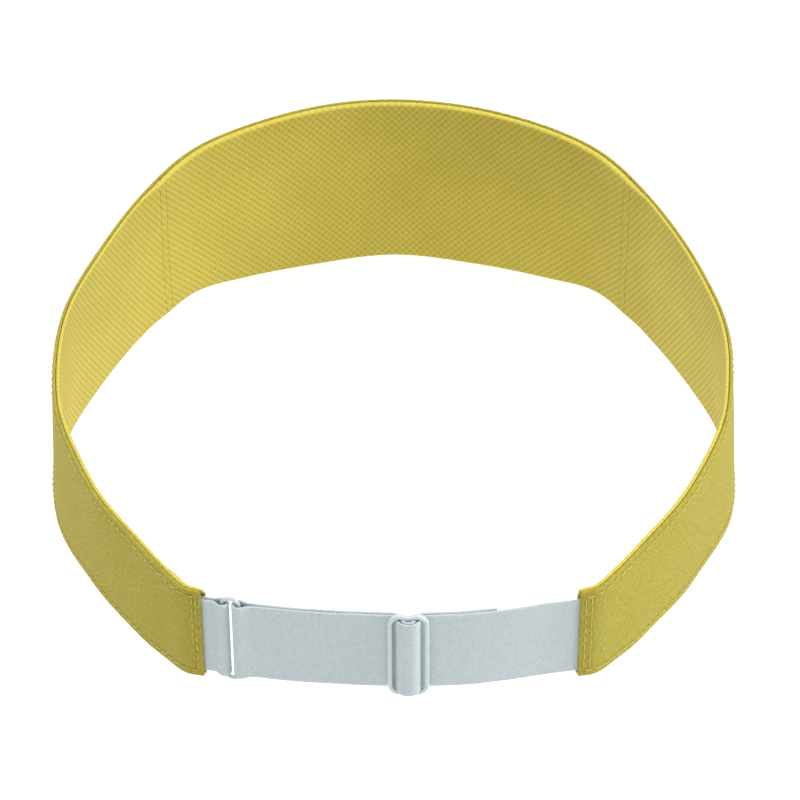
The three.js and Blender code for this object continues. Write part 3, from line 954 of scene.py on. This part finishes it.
strap_y = SLIDER[1] - SLIDER_DEPTH / 2 - GAP - ELASTIC / 2
BIGHT_HALF = 4.3  # half the bight's length, so that its ends lie behind the slider's long sides
left_start = SLIDER[0] + BIGHT_HALF + 0.02
right_start = SLIDER[0] - BIGHT_HALF - 0.02
left_run = catmull([(left_start, strap_y), (11, strap_y - 0.6), (21, strap_y - 1.4), LOOP_END], 30, False)
right_run = catmull(
    [(right_start, strap_y), (-18, strap_y - 0.6), (-27.5, strap_y - 2.1), (-36, strap_y - 4)]
    + [tuple(p) for p in band_xy(-np.array(pocket, float), right_offset)][::-1],
    30, False,
)


def bight(offset):
    """The strap's way up through the slider's window, over its bar and down again, from -X to +X."""
    radius, steep, crown = 1.5, math.radians(70), 0.55
    top = BAR_DEPTH - SLIDER_DEPTH / 2 + GAP * 1.5 + ELASTIC
    low = -SLIDER_DEPTH / 2 - GAP * 1.5 - ELASTIC
    fall = 2 * radius * (1 - math.cos(steep))
    straight = (top - low - fall) / math.sin(steep)
    foot = crown + 2 * radius * math.sin(steep) + straight * math.cos(steep)
    half = [(0, top)]
    for i in range(17):
        a = steep * i / 16
        half.append((crown + radius * math.sin(a), top - radius + radius * math.cos(a)))
    for i in range(16, -1, -1):
        a = steep * i / 16
        half.append((foot - radius * math.sin(a), low + radius - radius * math.cos(a)))
    half.append((BIGHT_HALF, low))
    half = np.array(half)
    mirrored = half[:0:-1] * [-1, 1]
    path = offset_path(even_path(np.vstack([mirrored, half]), 0.12)[0], offset)
    return path + SLIDER


outer_bight, inner_bight = bight(-LAYER_PITCH / 2), bight(LAYER_PITCH / 2)

# One object for the outer layer from the band's right end over the slider's bar,
# and one for the tail's layer.
right_path = smoothed(np.vstack([right_run[::-1], outer_bight]), 5)
strap_right = ribbon("strap_right", right_path, 40.0, 0.4)
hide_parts("strap_outer_right", "strap_bight_outer")
tail_run = offset_path(right_run, -LAYER_PITCH)
tail_run = tail_run[tail_run[:, 0] > TAIL_END]
tail_path = smoothed(np.vstack([tail_run[::-1], inner_bight]), 5)
strap_tail = ribbon("strap_tail_end", tail_path, 110.0, 0.4)
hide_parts("strap_tail", "strap_bight_inner")
for piece in (strap_right, strap_tail):
    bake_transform(piece)

# The left run's two layers, as far as the split, and the loop beyond it that turns round the ring's bar.
inner_run = offset_path(left_run, LAYER_PITCH)


def cut_at_split(run):
    """The two parts of a run, which share their end at the split."""
    at_split = (SPLIT_X, float(np.interp(SPLIT_X, run[:, 0], run[:, 1])))
    before, after = run[run[:, 0] < SPLIT_X - 0.1], run[run[:, 0] > SPLIT_X + 0.1]
    return np.vstack([before, at_split]), np.vstack([at_split, after])


outer_start, outer_rest = cut_at_split(left_run)
inner_start, inner_rest = cut_at_split(inner_run)
for name, run, node, arc in (
    ("strap_left_outer", outer_start, "strap_outer_left", 90.0),
    ("strap_left_inner", inner_start, "strap_inner_left", 150.0),
):
    piece = ribbon(name, run, arc, 0.4)
    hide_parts(node)
    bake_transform(piece)

turn = fold_round(RING_STRAP_BAR, np.array([31.0, 90.95]), wrap=100)
outer_line = np.vstack([outer_rest, [LOOP_END + (0.35, -0.1), (33.0, 91.6)]])
inner_line = np.vstack([inner_rest, [(32.9, 90.25)]])
loop_path = smoothed(np.vstack([inner_line, turn, outer_line[::-1]]), 3)
strap_loop = ribbon("strap_ring_turn", loop_path, 120.0, 0.3)
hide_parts("strap_ring_loop")
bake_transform(strap_loop)

# ---------------------------------------------------------------- ring


def loop_tangents(path):
    return unit(np.roll(path, -1, 0) - np.roll(path, 1, 0))


def tube(path, radius, up, sides):
    """Sections round a closed path."""
    tangent = loop_tangents(path)
    side = unit(np.cross(tangent, up))
    other = np.cross(side, tangent)
    angle = np.linspace(0, 2 * np.pi, sides, endpoint=False)
    return (
        path[:, None, :]
        + side[:, None, :] * (radius * np.cos(angle))[None, :, None]
        + other[:, None, :] * (radius * np.sin(angle))[None, :, None]
    )


ring_pitch = 3.9
bend_radius = ring_pitch / 2
straight = RING_HEIGHT / 2 - bend_radius - RING_TUBE
ring_points = []
for sign in (1, -1):
    for angle in np.linspace(0, math.pi, 25):
        z = straight + bend_radius * math.sin(angle)
        ring_points.append((sign * bend_radius * math.cos(angle), sign * z))
    for share in np.linspace(0, 1, 30)[1:-1]:
        ring_points.append((-sign * bend_radius, sign * straight * (1 - 2 * share)))
ring_points = np.array(ring_points)
across = (RING_TAB_BAR - RING_STRAP_BAR) / np.linalg.norm(RING_TAB_BAR - RING_STRAP_BAR)
ring_middle = (RING_TAB_BAR + RING_STRAP_BAR) / 2
ring_path = np.stack([
    ring_middle[0] + ring_points[:, 0] * across[0],
    ring_middle[1] + ring_points[:, 0] * across[1],
    STRAP_MIDDLE + ring_points[:, 1],
], -1)
face_normal = np.array([-across[1], across[0], 0.0])
verts, faces = loft(tube(ring_path, RING_TUBE, face_normal, 20), loop=True)
ring = make_object("wire_ring", verts, faces, slider_mat)
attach(ring, "ring")
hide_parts("ring")

# ---------------------------------------------------------------- slider


CORNER_STEPS = 14
FRAME_CORNER, FRAME_WAIST = 2.4, 0.5
BAR_HALF_WIDTH = 0.8
BAR_SECTIONS = 60


def squared(wave):
    """A sine or cosine that gives a section flattened sides."""
    return np.sign(wave) * np.abs(wave) ** 0.7


def rounded_outline(half_width, half_height, radius, notch):
    """A rounded rectangle whose short sides have a waist between two shoulders."""
    points = []
    for qx, qy, start in ((1, 1, 0), (-1, 1, 90), (-1, -1, 180), (1, -1, 270)):
        for k in range(CORNER_STEPS + 1):
            a = math.radians(start + 90 * k / CORNER_STEPS)
            points.append((qx * (half_width - radius) + radius * math.cos(a),
                           qy * (half_height - radius) + radius * math.sin(a)))
        if start in (0, 180):
            xs = np.linspace(half_width - radius, radius - half_width, 26)[1:-1]
            xs = xs * (1 if start == 0 else -1)
            dip = notch * np.exp(-((xs / (half_width * 0.36)) ** 2))
            points += [(x, qy * (half_height - d)) for x, d in zip(xs, dip)]
        else:
            ys = np.linspace(half_height - radius, radius - half_height, 40)[1:-1]
            ys = ys * (1 if start == 90 else -1)
            points += [(qx * half_width, y) for y in ys]
    return np.array(points)


half_width, half_height = SLIDER_WIDTH / 2 - SLIDER_WALL / 2, SLIDER_HEIGHT / 2 - SLIDER_WALL / 2
outline = rounded_outline(half_width, half_height, FRAME_CORNER, FRAME_WAIST)
centre = np.stack([outline[:, 0], np.zeros(len(outline)), outline[:, 1]], -1)
inward = np.cross(loop_tangents(centre), [0, 1.0, 0])
inward *= -np.sign((inward * centre).sum(1))[:, None]
angle = np.linspace(0, 2 * np.pi, 28, endpoint=False)
sx = squared(np.cos(angle)) * SLIDER_WALL / 2
sy = squared(np.sin(angle)) * FRAME_DEPTH / 2 + (FRAME_DEPTH - SLIDER_DEPTH) / 2
frame_rings = centre[:, None, :] + inward[:, None, :] * sx[None, :, None]
frame_rings = frame_rings + np.array([0, 1.0, 0]) * sy[None, :, None]
parts = [loft(frame_rings, loop=True)]
bar_z = np.linspace(-SLIDER_HEIGHT / 2 + 1.0, SLIDER_HEIGHT / 2 - 1.0, BAR_SECTIONS)
flare = 1 + 1.1 * np.exp(-((SLIDER_HEIGHT / 2 - 1.0 - np.abs(bar_z)) / 0.5) ** 2)
bar_x = squared(np.cos(angle)) * BAR_HALF_WIDTH
bar_y = squared(np.sin(angle)) * BAR_DEPTH / 2 - (SLIDER_DEPTH - BAR_DEPTH) / 2
bar_rings = np.stack([
    bar_x[None, :] * flare[:, None],
    np.broadcast_to(bar_y[None, :], (BAR_SECTIONS, len(angle))),
    np.broadcast_to(bar_z[:, None], (BAR_SECTIONS, len(angle))),
], -1)
parts.append(loft(bar_rings))
verts, faces = joined(parts)
verts = verts + [SLIDER[0], SLIDER[1], STRAP_MIDDLE]
slider = make_object("slider_frame", verts, faces, slider_mat, None, 60)
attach(slider, "slider")
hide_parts("slider")

# ---------------------------------------------------------------- CAD pieces that stay, inside band and brim

for node, look in (("front_stiffener", buckram_mat), ("brim_board", board_mat)):
    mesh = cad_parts[node].data
    mesh.materials.clear()
    mesh.materials.append(look)

# ---------------------------------------------------------------- room and light

floor_material = material("floor_look")
n = Nodes(floor_material)
n.set(Base_Color=(0.25, 0.25, 0.25, 1.0), Roughness=0.9, Specular_IOR_Level=0.1)
n.set(Emission_Color=(1.0, 1.0, 1.0, 1.0), Emission_Strength=0.96)
bpy.ops.mesh.primitive_plane_add(size=12, location=(0, 0, CAD_LOW.z - 0.0005))
floor = bpy.context.object
floor.name = "floor"
floor.data.materials.append(floor_material)
floor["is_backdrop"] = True

world = bpy.data.worlds.new("studio")
world.use_nodes = True
world.node_tree.nodes["Background"].inputs[0].default_value = (1.0, 1.0, 1.0, 1.0)
world.node_tree.nodes["Background"].inputs[1].default_value = 0.16
bpy.context.scene.world = world
bpy.context.scene.view_settings.view_transform = "Standard"


def softbox(name, place, target, size, power):
    """A round area light, in metres and watts."""
    data = bpy.data.lights.new(name, "AREA")
    data.shape = "DISK"
    data.size = size
    data.energy = power
    lamp = bpy.data.objects.new(name, data)
    lamp.location = place
    way = np.array(target) - np.array(place)
    tilt = math.atan2(math.hypot(way[0], way[1]), -way[2])
    lamp.rotation_euler = (tilt, 0, math.atan2(-way[0], way[1]))
    bpy.context.scene.collection.objects.link(lamp)


softbox("key", (-1.25, 0.1, 0.75), (0, 0, 0), 0.9, 13.6)
softbox("front", (1.1, -0.9, 0.9), (0, 0, 0), 1.0, 10.0)
softbox("back", (1.1, 0.9, 0.8), (0, 0, 0), 1.0, 2.6)
softbox("top", (0.0, 0.1, 1.6), (0, 0, 0), 1.0, 14.0)

# ---------------------------------------------------------------- sizes

low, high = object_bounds()
